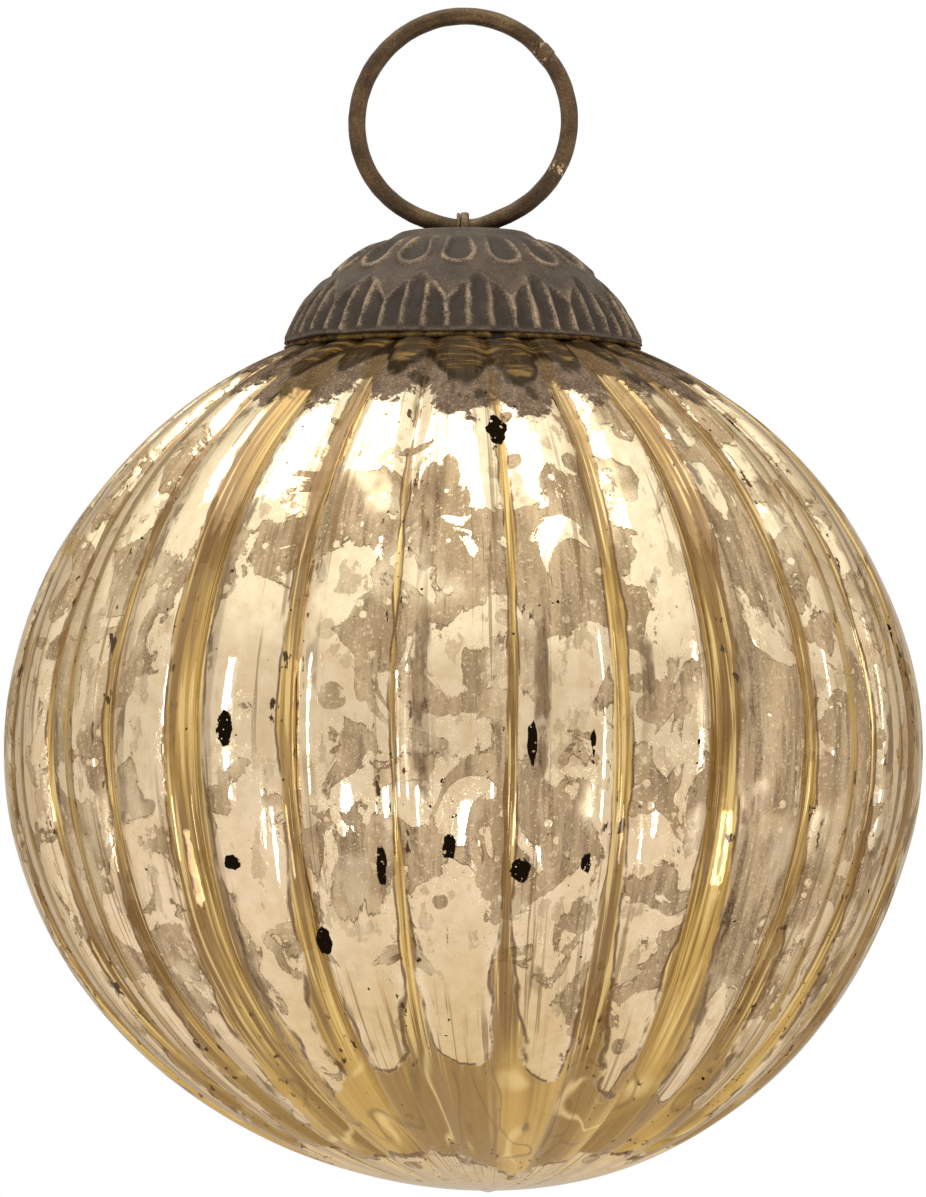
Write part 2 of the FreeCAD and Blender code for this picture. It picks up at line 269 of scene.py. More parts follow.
def rib_relief(outline, lobe, gap, depth, width):
    """How far each point of the outside lies under the outline, in millimetres.

    lobe is how far across its rib a column is, from 0 to 1. depth and width compare the nearest
    groove with the others.
    """
    radius = outline[:, :1]
    pitch = 2 * np.pi * radius / RIBS
    half_width = np.minimum(GROOVE_HALF_WIDTH, 0.3 * pitch) * width
    band = np.clip(1 - np.abs(gap) / half_width, 0, 1)
    bottom_fade = ramp(radius, 5, 17)
    top_fade = np.where(outline[:, 1:] > UPPER_CENTRE, 0.35 + 0.65 * ramp(radius, 13, 24), 1)
    groove = np.minimum(GROOVE_DEPTH, 0.14 * pitch) * bottom_fade * top_fade
    bulge = RIB_BULGE * pitch * (0.35 + 0.65 * bottom_fade)
    sunk = groove * depth * (1 - np.cos(np.pi * band)) / 2
    return sunk + bulge * (2 * np.abs(lobe - 0.5)) ** 2


def ball_grid():
    """The blown shell's rows of points, and the fields that its material reads."""
    outline, outer = shell_outline()
    grooves = groove_plan()
    share = np.arange(COLUMNS_PER_RIB) / COLUMNS_PER_RIB
    across = share - GATHERING / (2 * np.pi) * np.sin(2 * np.pi * share)
    widths = np.diff(np.append(grooves.place, grooves.place[0] + 360))
    columns = np.radians((grooves.place[:, None] + widths[:, None] * across).reshape(-1))
    lobe = np.tile(across, RIBS)
    before = np.repeat(np.arange(RIBS), COLUMNS_PER_RIB)
    nearest = (before + (lobe > 0.5)) % RIBS

    # The grooves wander a little on their way down.
    wander = GROOVE_WANDER * np.sin(outline[:, 1:] / WANDER_LENGTH + grooves.phase)
    drift = wander[:, before] * (1 - lobe) + wander[:, (before + 1) % RIBS] * lobe
    angles = columns + np.radians(drift)

    # gap is the distance to the nearest groove's middle, above 0 to the right of it.
    pitch = 2 * np.pi * outline[:, :1] / RIBS
    gap = np.minimum(lobe, 1 - lobe) * pitch * np.where(lobe < 0.5, 1, -1)
    sunk = rib_relief(outline, lobe, gap, grooves.depth[nearest], grooves.width[nearest])
    sunk[outer:] = 0
    normals = np.gradient(outline, axis=0)[:, ::-1] * (1, -1)
    normals /= np.linalg.norm(normals, axis=1)[:, None]
    radii = outline[:, :1] - sunk * normals[:, :1]
    heights = outline[:, 1:] - sunk * normals[:, 1:]
    grid = around_axis(radii, heights, angles)

    # The outside swells gently, as hand-blown glass does, and the foot leans to the right.
    skin = grid[:outer]
    swell = smooth_noise(skin, 16, 1) * LONG_SWELL + smooth_noise(skin, 7, 2) * SHORT_SWELL
    swell *= ramp(outline[:outer, :1], 9, 16)
    outward = around_axis(normals[:outer, :1], normals[:outer, 1:], angles[:outer])
    grid[:outer] = skin + outward * (swell - SKIN_INSET)[..., None]
    low = np.clip((LEAN_START - grid[..., 2]) / (LEAN_START - glass_low.z), 0, 1)
    grid[..., 0] += LEAN * low**1.7

    azimuth = (np.degrees(angles) + 180) % 360 - 180
    steps = np.linalg.norm(np.diff(outline, axis=0, prepend=outline[:1]), axis=1)
    along = np.cumsum(steps)[:, None]
    honey = grooves.amber[nearest]
    return grid, ball_fields(azimuth, grid[..., 2], outline[:, :1], gap, along, honey)


# The ball's colouring -----
# How far below the frame's origin the dull zone ends and the foot's amber starts and ends.
# The dull zone is partly tarnish and partly a painted reflection of the dark cap.
SHADE_END = 32.9
FOOT_START = 90.6
FOOT_END = 93.6
SCALLOP = 4.5  # how much higher the foot's amber reaches in the grooves than between them
# Black spots, some where the silvering is gone and some painted dark reflections: azimuth, height, half width
# and half height.
BARE_AND_REFLECTION_SPOTS = (
    (-30, -59.7, 1.1, 1.9),
    (-30.4, -70.2, 1.2, 0.8),
    (8.3, -60.9, 0.5, 2.4),
    (-1.7, -59.2, 0.35, 0.9),
    (15.7, -60.9, 0.4, 1.6),
    (7.4, -70.9, 1, 1.4),
    (15.6, -70.4, 0.6, 1.5),
    (-10.3, -70.6, 0.55, 2.2),
    (-1.8, -69.2, 0.7, 1.4),
    (-19.6, -76.4, 1.1, 1.5),
    (5.8, -35.6, 1.1, 1.6),
    (62.5, -34.1, 1, 1.3),
    (29.5, -60.9, 0.35, 0.6),
    (77, -50.8, 0.9, 1.5),
    (142, -52, 1, 1.8),
    (171, -66, 0.6, 1.7),
    (-118, -47, 1.1, 1.5),
    (-151, -71, 0.7, 1.6),
    (109, -69, 1, 1.1),
)

# Where the tarnish gathers (above 0) or stays away (below 0), as azimuth, height, half width,
# half height and strength.
TARNISH_CLOUDS = (
    (-24, -42.5, 8, 3.5, 0.12),
    (-4, -41.5, 7, 4, 0.08),
    (-8, -55, 8, 5, 0.08),
    (14, -50, 5, 7, 0.1),
    (20, -44, 3, 6, 0.1),
    (-44, -45, 4, 6, 0.06),
    (-57, -51, 3, 5, 0.08),
    (4, -66, 6, 7, 0.08),
    (42, -73, 7, 7, 0.14),
    (-20, -68, 6, 8, -0.08),
    (18, -82.5, 2.5, 3, 0.35),
    (36, -56, 3, 8, 0.12),
    (-17, -33.5, 9, 3.2, -0.22),
    (-38, -38, 5, 4.5, -0.2),
    (6, -36, 4, 6, -0.12),
    (28, -38, 3, 5, -0.1),
    (30, -34, 4, 2.5, 0.1),
    (47, -40, 5, 6, 0.08),
    (45, -66, 8, 12, 0.12),
    (0, -84, 22, 6, -0.16),
    (0, -97, 60, 9, -0.3),
    (-28, -53, 8, 6, -0.18),
)


def reach(place, azimuth, height, radius):
    """The distance from the middle of a place in the tables above: 1 at its edge."""
    middle, level, half_width, half_height = place[:4]
    turn = np.radians((azimuth - middle + 180) % 360 - 180)
    return np.hypot(turn * radius / half_width, (height - level) / half_height)


def amber_field(turn, height, radius, from_groove, honey):
    """Where the amber lies: above 0.

    It lines the grooves, wider towards the foot, where it runs together in scallops that end a
    little above the pole. honey is how much more or less of it this groove has than most.
    """
    low = ramp(-height, 66, 90)
    half_width = (1.1 + 1.2 * low + 0.9 * np.maximum(honey, 0)) * np.minimum(1, radius / 20)
    in_groove = 0.8 + honey * (1 - 0.6 * low) - from_groove / half_width
    rib_half = np.pi * radius / RIBS
    from_middle = np.clip((rib_half - from_groove) / rib_half, 0, 1)
    scallop = SCALLOP * (1 - np.sqrt(1 - from_middle**2))
    start = FOOT_START - 4.4 * np.cos(turn - 0.05) ** 6 + 0.8 * np.sin(5 * turn) - scallop
    end = FOOT_END + 0.7 * np.sin(3 * turn + 1) + 0.6 * np.sin(7 * turn)
    amber = np.maximum(in_groove, (-height - start) / 1.5)
    return np.clip(np.minimum(amber, (end + height) / 2.0), -2, 3)


def shade_field(turn, height, gap):
    """Where the dull zone under the cap, partly tarnish and partly a painted reflection of the dark cap,
    lies: above 0. It hangs lowest between the grooves.
    """
    end = SHADE_END + 1.7 * np.cos(2 * turn + 0.2) + 0.7 * np.sin(7 * turn + 0.6) + 0.6 * np.sin(turn)
    return np.clip((end - 2.0 * hump(gap, 1.4) + height) / 2.0, -2, 3)


def ball_fields(azimuth, height, radius, gap, along, honey):
    """Values over the ball that its material reads, each an array of rows by columns.

    along is the distance up the meridian. flow and meridian are places for the noises: the second
    one keeps its width up to the poles, so that what it draws runs down the ribs.
    """
    turn = np.radians(azimuth)
    spots = [1 - reach(spot, azimuth, height, radius) for spot in BARE_AND_REFLECTION_SPOTS]
    clouds = [cloud[4] * hump(reach(cloud, azimuth, height, radius), 1) for cloud in TARNISH_CLOUDS]
    rib_half = np.pi * radius / RIBS
    around = np.stack([np.sin(turn), np.cos(turn)], 2)
    spread = np.sqrt(BALL_RADIUS * np.maximum(radius, 1))
    down = (along + 0 * turn)[..., None]
    return {
        "bare_and_reflection_spot": np.maximum(np.max(spots, axis=0), -2),
        "cloud": sum(clouds),
        "amber": amber_field(turn, height, radius, np.abs(gap), honey),
        "shade": shade_field(turn, height, gap),
        "gap": np.abs(gap),
        "right": np.sin(np.pi * np.clip(gap / rib_half, -1, 1)),
        "honey": honey + 0 * gap,
        "flow": np.concatenate([spread[..., None] * around, down], 2),
        "meridian": np.concatenate([BALL_RADIUS * around, down], 2),
        "foot": ramp(-height, 82, 88),
        # flank and crease place painted reflection lines: towards the sides, seen from the front or back, and
        # down each rib's middle.
        "flank": ramp(np.abs((azimuth + 90) % 180 - 90), 42, 60) * ramp(radius, 16, 26),
        "crease": hump(rib_half - np.abs(gap), 0.6),
    }


# The cap's shape -----
DOME_RADIUS = 14.64
DOME_CENTRE = (0.93, -31.62)
DOME_TOP = 6.6
SHEET = 0.45
TOP_HOLE = 1.5
TOP_DISH = 0.57  # how deep the middle of the top lies under the bead round it
TOP_FALL = 0.82  # from the bead to the dome
FLUTES = 48
FLUTE_COLUMNS = 12
PETALS = 16
ARCH_PEAK = -21.7
ARCH_FOOT = -23.9
PETAL_FOOT = -19.75
LINE_HALF_WIDTH = 0.34
RIDGE_HEIGHT = 0.24
HOLLOW_DEPTH = 0.2
ARCH_HEIGHT = 0.2
PETAL_HEIGHT = 0.24
PETAL_HOLLOW = 0.16
BAND_DEPTH = 0.1
CAP_TILT = 0.008  # drop over reach

# The pattern's places round the axis, in degrees.
FLUTE_PHASE = 2.0
PETAL_PHASE = -2.2
ARCH_PHASE = 5.75


def fold(azimuth, phase, count):
    """Degrees from the nearest of count places set evenly round the axis."""
    pitch = 360 / count
    return (azimuth - phase + pitch / 2) % pitch - pitch / 2


def cap_relief(azimuth, radius, height, rough):
    """How far the pressed pattern stands out, in millimetres, and where it is worn or dark.

    rough is two random fields that push the pattern about, as an old die would.
    """
    azimuth = azimuth + 0.5 * rough[0]
    height = height + 0.13 * rough[1]
    per_degree = np.radians(1) * radius
    arch = np.abs(fold(azimuth, ARCH_PHASE, PETALS)) / (180 / PETALS)
    crease = ARCH_FOOT + (ARCH_PEAK - ARCH_FOOT) * (1 - arch**1.35)
    below = ramp(crease - height, -0.1, 0.9)
    rim = ramp(height, CAP_RIM + 0.1, CAP_RIM + 0.5)
    flute_gap = np.abs(fold(azimuth, FLUTE_PHASE, FLUTES)) * per_degree
    flute_half = 180 / FLUTES * per_degree
    ridge = hump(flute_gap, LINE_HALF_WIDTH) * below * rim
    hollow = np.sin(np.pi / 2 * np.clip(flute_gap / flute_half, 0, 1)) * below * rim
    edge = hump(height - crease, LINE_HALF_WIDTH) * (0.5 + 0.5 * arch)

    across = np.abs(fold(azimuth, PETAL_PHASE, PETALS)) * per_degree
    half = 0.82 + 0.46 * ramp(radius, 7.2, 9.8)
    down = np.maximum(PETAL_FOOT - height, 0) * 1.35
    to_petal = np.hypot(across, down) - half
    petal_top = ramp(-height, 17.9, 18.7)
    petal = hump(to_petal, 0.32) * petal_top
    inside = ramp(-to_petal, 0.0, 0.6) * petal_top

    out = RIDGE_HEIGHT * ridge - HOLLOW_DEPTH * hollow + ARCH_HEIGHT * edge
    out = out + PETAL_HEIGHT * petal - PETAL_HOLLOW * inside
    out = out - BAND_DEPTH * ramp(height - crease, 0.1, 1.0) * ramp(-height, 18.6, 20.6)
    worn = np.clip(ridge + 0.8 * edge + petal * (0.75 + 0.25 * ramp(down, 0, 0.5)), 0, 1)
    return out, worn, np.clip(hollow + 0.8 * inside, 0, 1)


def cap_profile():
    """The cap's (radius, height) outline: over the dished top, down the dome and back inside.

    Also says where the dome's points start and end.
    """
    floor = cap_high.z - TOP_DISH
    flat = np.linspace(TOP_HOLE, DOME_TOP, 26)[:-1]
    lift = ramp(flat, 2.8, 4.4) * TOP_DISH - ramp(flat, 4.9, 6.7) * TOP_FALL
    dome_start = math.degrees(math.acos((DOME_TOP - DOME_CENTRE[0]) / DOME_RADIUS))
    dome_end = math.degrees(math.asin((CAP_RIM - DOME_CENTRE[1]) / DOME_RADIUS))
    dome = arc(DOME_CENTRE, DOME_RADIUS, dome_start, dome_end, 84)
    under = arc(DOME_CENTRE, DOME_RADIUS - SHEET, dome_end + 0.3, dome_start, 16)
    under_top = np.array([(4.4, floor - SHEET), (TOP_HOLE, floor - SHEET)])
    outline = np.concatenate([np.stack([flat, floor + lift], 1), dome, under, under_top])
    return outline, len(flat), len(flat) + len(dome)


def cap_mesh():
    """The pressed sheet with its pattern, dents and rolled lip, set on the ball a little askew."""
    outline, dome_first, dome_last = cap_profile()
    azimuth = np.arange(FLUTES * FLUTE_COLUMNS) * 360 / (FLUTES * FLUTE_COLUMNS)
    turn = np.radians(azimuth)[None]
    radius = np.repeat(outline[:, :1], len(azimuth), 1)
    height = np.repeat(outline[:, 1:], len(azimuth), 1)
    grid = around_axis(radius, height, turn)
    rough = [smooth_noise(grid, 1.5, 14), smooth_noise(grid, 1.9, 15)]
    out, worn, dark = cap_relief(azimuth[None], radius, height, rough)
    rows = np.arange(len(outline))[:, None]
    on_dome = (rows >= dome_first) & (rows < dome_last)
    slope = np.arctan2(outline[:, 1] - DOME_CENTRE[1], outline[:, 0] - DOME_CENTRE[0])[:, None]
    dents = 0.06 * smooth_noise(grid, 2.6, 4) + 0.05 * smooth_noise(grid, 6.0, 5)
    lip = hump(height - CAP_RIM, 0.3) * (0.1 + 0.06 * smooth_noise(grid, 1.4, 6))
    out = np.where(on_dome, out + dents + lip, 0)
    grid += around_axis(out * np.cos(slope), out * np.sin(slope) * ramp(-height, 17.6, 19.0), turn)
    grid[..., 2] += 0.12 * smooth_noise(grid, 4.0, 7) * ramp(-height, 24.5, 26.6)
    grid[..., 2] -= CAP_TILT * grid[..., 0] * ramp(-height, 18.0, 26.0)
    bead = hump(radius - 4.9, 0.5) * (rows < dome_first)
    worn = np.where(on_dome, np.maximum(worn, 0.3 * hump(height - CAP_RIM, 0.16)), 0.5 * bead)
    dark = np.where(on_dome, dark, 0)
    return closed_mesh("cap", grid, {"worn": worn, "dark": dark})


# The ring, its braze, the pin and the cement -----
WIRE_COLUMNS = 32
STRIP_THICKNESS = 0.5
STRIP_GAP = 0.05
STRIP_COLUMNS = 20
LEG_REACH = 4.3
LEG_TOP = -18.55

# Degrees above +X round the ring: its joint, half the braze's length and a knock in the wire.
JOINT_ANGLE = 40.0
BRAZE_HALF_ANGLE = 3.5
KNOCK_ANGLE = -27.0

# The cement's top inside the cap, and its dark blob in degrees from the front.
CEMENT_TOP = -21.7
BLOB_ANGLE = 11.0
BLOB_HALF_ANGLE = 2.0


def ring_tube(angles, wire, bend):
    """Rings of points round the wire at angles above +X. wire is its radius, bend shifts it outward."""
    around = np.radians(np.arange(WIRE_COLUMNS) * 360 / WIRE_COLUMNS)
    out = RING_RADIUS + bend[:, None] + wire * np.cos(around)[None]
    grid = np.zeros((len(angles), len(around), 3))
    grid[..., 0] = out * np.cos(angles)[:, None]
    grid[..., 1] = wire * np.sin(around)[None]
    grid[..., 2] = RING_CENTRE + out * np.sin(angles)[:, None]
    return grid


def ring_mesh():
    """Bent wire, slightly out of round, its two ends meeting at the joint."""
    angles = np.radians(np.linspace(JOINT_ANGLE + 0.7, JOINT_ANGLE + 359.3, 360))
    bend = -0.09 * (1 - np.cos(2 * angles - 0.9)) - 0.04 * (1 - np.cos(3 * angles + 1.2))
    near_joint = hump(np.minimum(angles - angles[0], angles[-1] - angles), 0.10)
    bend = bend * ramp(np.abs(np.sin((angles + np.pi / 2) / 2)), 0.04, 0.2) - 0.09 * near_joint
    grid = ring_tube(angles, WIRE_RADIUS - 0.03, bend)
    scratch = hump(fold(np.degrees(angles), KNOCK_ANGLE, 1), 2.2)
    scratch = np.maximum(scratch, hump(fold(np.degrees(angles), JOINT_ANGLE, 1), 4.5))
    centre = grid.mean(axis=1, keepdims=True)
    grid = centre + (grid - centre) * (1 + 0.035 * smooth_noise(grid, 0.9, 8))[..., None]
    fields = {"scratch": np.repeat(scratch[:, None], grid.shape[1], 1)}
    return grid_mesh("ring", grid, fields, poles=end_middles(grid))


def braze_mesh():
    """A thin, uneven collar of filler over the joint."""
    middle = np.radians(JOINT_ANGLE)
    angles = middle + np.radians(np.linspace(-BRAZE_HALF_ANGLE, BRAZE_HALF_ANGLE, 26))
    share = np.linspace(-1, 1, len(angles))
    wire = (WIRE_RADIUS - 0.06) + 0.07 * np.sqrt(np.clip(1 - share**4, 0, 1))[:, None]
    grid = ring_tube(angles, wire, np.full(len(angles), -0.1))
    centre = grid.mean(axis=1, keepdims=True)
    uneven = 0.05 * smooth_noise(grid, 0.45, 9) + 0.03 * smooth_noise(grid, 0.2, 10)
    grid = centre + (grid - centre) * (1 + uneven)[..., None]
    return grid_mesh("braze", grid, poles=end_middles(grid))


def pin_path():
    """The strip's middle line in the (y, height) plane: a leg, up, over the wire, down, a leg."""
    middle = WIRE_RADIUS + STRIP_GAP + STRIP_THICKNESS / 2
    bend = 0.2 + STRIP_THICKNESS / 2
    under = LEG_TOP - STRIP_THICKNESS / 2
    leg = np.stack([np.linspace(LEG_REACH, middle + bend, 10), np.full(10, under)], 1)
    corner = arc((middle + bend, under + bend), bend, 270, 180, 7)[1:]
    rise = np.stack([np.full(6, middle), np.linspace(under + bend, WIRE_BOTTOM, 6)], 1)[1:]
    over = arc((0, WIRE_BOTTOM), middle, 0, 90, 12)[1:]
    half = np.concatenate([leg, corner, rise, over])
    return np.concatenate([half, half[-2::-1] * (-1, 1)])


def squared(wave):
    """A sine or cosine swollen towards a square, which flattens a round section's sides."""
    return np.sign(wave) * np.abs(wave) ** 0.7


def strand_mesh(name, middle, half_width, lift):
    """One rounded strand along the pin's path, narrower towards its ends."""
    path = pin_path()
    run = np.gradient(path, axis=0)
    run /= np.linalg.norm(run, axis=1)[:, None]
    outward = np.stack([run[:, 1], -run[:, 0]], 1)
    turn = np.radians(np.arange(STRIP_COLUMNS) * 360 / STRIP_COLUMNS)
    side = half_width * squared(np.cos(turn))
    rise = (STRIP_THICKNESS / 2 - 0.01) * squared(np.sin(turn)) + lift
    taper = np.sqrt(np.clip(1.06 - np.linspace(-1, 1, len(path)) ** 2, 0.05, 1))[:, None]
    grid = np.zeros((len(path), len(turn), 3))
    grid[..., 0] = middle + side[None] * taper
    grid[..., 1] = path[:, :1] + outward[:, :1] * rise[None]
    grid[..., 2] = path[:, 1:] + outward[:, 1:] * rise[None]
    return grid_mesh(name, grid, poles=end_middles(grid))


def pin_mesh():
    """The folded strip, whose crease splits it into a broad strand and a thin one."""
    broad = strand_mesh("main_strand", 0.15, 0.36, 0)
    thin = strand_mesh("thin_strand", -0.37, 0.155, -0.06)
    return join_meshes("pin", [broad, thin])


def cement_mesh():
    """The bond inside the cap, with the uneven bead squeezed out under its rim."""
    azimuth = np.arange(360.0)
    turn = np.radians(azimuth)
    section = np.array([
        (NECK_RADIUS + 0.1, CEMENT_TOP),
        (11.2, CEMENT_TOP),
        (13.1, -24.45),
        (13.95, -25.9),
        (14.25, -26.45),
        (14.5, -26.64),
        (14.7, -26.8),
        (14.85, -26.95),
        (14.7, -27.2),
        (14.2, -27.0),
        (13.2, -26.3),
        (10.5, -25.3),
        (8.3, -24.7),
        (NECK_RADIUS + 0.1, -24.3),
    ])
    grid = around_axis(section[:, :1], section[:, 1:], turn)
    lip = int(np.argmax(section[:, 0]))
    squeeze = smooth_noise(grid[lip], 3.0, 12) + 0.6 * smooth_noise(grid[lip], 1.1, 13)
    blob = hump(fold(azimuth, BLOB_ANGLE, 1), BLOB_HALF_ANGLE)
    spread = 0.25 * squeeze + 0.9 * blob - 0.12
    drop = 0.42 * spread + 0.5 * blob
    for row, share in ((lip - 2, 0.35), (lip - 1, 0.8), (lip, 1.0), (lip + 1, 0.9)):
        grid[row] += around_axis(spread * share, -drop * share, turn)
    return closed_mesh("cement", grid, {"blob": np.repeat(blob[None], len(section), 0)})


# Materials -----
class Graph:
    """A material's node tree, written as a few short calls. The functions below call theirs g."""

    def __init__(self, name):
        self.material = bpy.data.materials.new(name)
        self.material.use_nodes = True
        self.tree = self.material.node_tree
        self.shader = self.tree.nodes["Principled BSDF"]
        self.place = self.node("ShaderNodeTexCoord").outputs["Object"]
        self.unit = MM

    def node(self, kind, **settings):
        """A new node with some of its settings changed."""
        made = self.tree.nodes.new(kind)
        for key, setting in settings.items():
            setattr(made, key, setting)
        return made

    def feed(self, socket, source):
        """Links another node's output to a socket, or gives the socket a value of its own."""
        if isinstance(source, bpy.types.NodeSocket):
            self.tree.links.new(source, socket)
        elif socket.type == "RGBA":
            socket.default_value = (*source, 1)
        elif source is not None:
            socket.default_value = source

    def put(self, made, **sources):
        """Feeds a node's sockets, named with underscores for spaces."""
        for key, source in sources.items():
            self.feed(made.inputs[key.replace("_", " ")], source)
        return made

    def math(self, operation, *parts):
        """One operation over two or more parts in turn, or over a single one."""
        whole = parts[0]
        for part in parts[1:] or (None,):
            made = self.node("ShaderNodeMath", operation=operation)
            self.feed(made.inputs[0], whole)
            self.feed(made.inputs[1], part)
            whole = made.outputs[0]
        return whole

    def times(self, *parts):
        return self.math("MULTIPLY", *parts)

    def plus(self, *parts):
        return self.math("ADD", *parts)

    def most(self, *parts):
        return self.math("MAXIMUM", *parts)

    def without(self, share):
        """What a share leaves of 1."""
        return self.math("SUBTRACT", 1, share)

    def apart(self, value, middle):
        """How far a value is from a middle."""
        return self.math("ABSOLUTE", self.math("SUBTRACT", value, middle))

    def sway(self, noise_value, reach):
        """A noise as a push to and fro, by up to half the reach each way."""
        return self.times(self.math("SUBTRACT", noise_value, 0.5), reach)

    def field(self, name):
        """A value that the mesh carries at its points."""
        return self.node("ShaderNodeAttribute", attribute_name=name).outputs["Fac"]

    def follow(self, name):
        """Takes places from a vector attribute in millimetres from here on."""
        self.place = self.node("ShaderNodeAttribute", attribute_name=name).outputs["Vector"]
        self.unit = 1

    def stretch(self, size):
        """The place divided by a size in millimetres, or by a size along each axis."""
        sizes = size if isinstance(size, tuple) else (size, size, size)
        scale = [1 / (self.unit * each) for each in sizes]
        return self.put(self.node("ShaderNodeMapping"), Vector=self.place, Scale=scale).outputs[0]

    def noise(self, size, detail=3.0, roughness=0.5, distortion=0.0):
        """Random clouds from 0 to 1 of a size in millimetres."""
        made = self.node("ShaderNodeTexNoise")
        self.put(made, Vector=self.stretch(size), Scale=1, Detail=detail)
        return self.put(made, Roughness=roughness, Distortion=distortion).outputs["Fac"]

    def cells(self, size):
        """Random cells, with the distance from each one's middle."""
        return self.put(self.node("ShaderNodeTexVoronoi"), Vector=self.stretch(size), Scale=1)

    def step(self, value, low, high):
        """Goes smoothly from 0 at low to 1 at high."""
        made = self.node("ShaderNodeMapRange", interpolation_type="SMOOTHSTEP")
        return self.put(made, Value=value, From_Min=low, From_Max=high).outputs["Result"]

    def blend(self, share, first, second):
        """A colour between two colours, which are a Mix node's sockets 6 and 7."""
        made = self.node("ShaderNodeMix", data_type="RGBA")
        self.feed(made.inputs["Factor"], share)
        self.feed(made.inputs[6], first)
        self.feed(made.inputs[7], second)
        return made.outputs[2]

    def mix(self, share, first_code, second_code):
        """A colour between two hex codes."""
        return self.blend(share, colour(first_code), colour(second_code))

    def paint(self, skin, where, code, amount=1):
        """A colour laid over a skin where a mask says, as thickly as amount says."""
        cover = where if amount == 1 else self.times(where, amount)
        return self.blend(cover, skin, colour(code))

    def level(self, share, first, second):
        """A number between two numbers, which are its sockets 2 and 3."""
        made = self.node("ShaderNodeMix", data_type="FLOAT")
        self.feed(made.inputs["Factor"], share)
        self.feed(made.inputs[2], first)
        self.feed(made.inputs[3], second)
        return made.outputs[0]

    def bump(self, height, distance, normal=None):
        """Relief too fine to model, a distance in millimetres deep."""
        made = self.put(self.node("ShaderNodeBump"), Height=height, Distance=distance * MM)
        return self.put(made, Strength=1.0, Normal=normal).outputs["Normal"]

    def finish(self, **sources):
        """Feeds the shader and gives the material."""
        self.put(self.shader, **sources)
        return self.material


def colour(code):
    """Linear colour of a hex code such as "d9c29a"."""
    parts = [int(code[start : start + 2], 16) / 255 for start in (0, 2, 4)]
    return tuple(part / 12.92 if part < 0.04045 else ((part + 0.055) / 1.055) ** 2.4 for part in parts)


def glass_noises(g):
    """The random fields that the glass's layers share; the long ones run down the ribs."""
    g.follow("meridian")
    noises = SimpleNamespace(
        streak=g.noise((0.8, 0.8, 8), 4, 0.55),
        body=g.noise((6, 6, 24), 1, 0.4),
        thread=g.noise((0.9, 0.9, 24), 3, 0.45),
        hair=g.noise((0.38, 0.38, 14), 2, 0.5),
        painted_glint_folds=g.noise((9, 9, 14), 1, 0.4, 0.8),
        dark_reflection_folds=g.noise((7, 7, 12), 1, 0.4, 0.8),
    )
    g.follow("flow")
    noises.mottle = g.noise(1.6, 5, 0.65)
    noises.fine = g.noise(0.3, 4, 0.7)
    noises.broad = g.noise((2.2, 2.2, 9), 4, 0.6)
    noises.blotch = g.step(g.noise((2.4, 2.4, 5), 4, 0.6), 0.5, 0.6)
    noises.burnt = g.times(g.step(noises.streak, 0.49, 0.62), g.step(noises.fine, 0.36, 0.54))
    noises.wobble = g.sway(g.noise((2.5, 2.5, 7), 3), 1.0)
    return noises


def tarnish_mask(g, noises):
    """Where the tarnish lies, and the dark outlines of its islands."""
    field = g.plus(g.noise((4.8, 4.8, 6.2), 6, 0.53, 0.8), g.field("cloud"))
    island = g.step(field, 0.522, 0.528)
    edge = g.apart(field, 0.525)
    outline = g.times(g.without(g.step(edge, 0.004, 0.012)), g.step(noises.mottle, 0.42, 0.58))
    crumbs = g.times(g.step(noises.fine, 0.56, 0.6), g.without(g.step(edge, 0.02, 0.085)))

    # Round drops of every size lie between the islands, and clear bubbles in them.
    drops = g.cells(5.0)
    drop_size = g.node("ShaderNodeSeparateColor")
    g.feed(drop_size.inputs[0], drops.outputs["Color"])
    drop_edge = g.plus(drops.outputs["Distance"], g.times(noises.mottle, 0.18))
    drop = g.math("SUBTRACT", g.plus(g.times(drop_size.outputs[0], 0.3), 0.06), drop_edge)
    island = g.most(island, g.step(drop, 0.0, 0.02))
    bubble = g.times(g.step(g.cells(1.5).outputs["Distance"], 0.25, 0.2), g.step(noises.broad, 0.5, 0.56))
    tarnish = g.most(g.times(island, g.without(bubble)), g.times(crumbs, 0.9))

    thin = g.step(g.noise((7, 7, 9), 3, 0.5), 0.5, 0.62)
    tarnish = g.times(tarnish, g.level(thin, 0.92, 0.5))
    flecks = g.step(g.noise((1.9, 1.9, 3.4), 5, 0.6), 0.565, 0.59)
    flecks = g.times(flecks, g.step(g.field("cloud"), -0.12, -0.02))
    return g.most(tarnish, g.times(flecks, 0.6)), outline


def silver_skin(g, noises, tarnish, outline):
    """Champagne silvering under streaky taupe tarnish."""
    mirror = g.mix(g.step(noises.mottle, 0.35, 0.7), "ead8ba", "dfc9a6")
    mirror = g.paint(mirror, g.step(noises.broad, 0.5, 0.7), "dcbf93", 0.5)
    taupe = g.mix(g.step(noises.broad, 0.38, 0.62), "a68f72", "8d775b")
    taupe = g.paint(taupe, noises.burnt, "564230", 0.85)
    taupe = g.paint(taupe, noises.blotch, "7a654b", 0.55)
    taupe = g.paint(taupe, g.step(noises.fine, 0.42, 0.36), "66513b", 0.6)
    taupe = g.paint(taupe, g.step(noises.fine, 0.57, 0.64), "d2bf9f", 0.65)
    return g.paint(g.blend(tarnish, mirror, taupe), outline, "5c4833", 0.75)


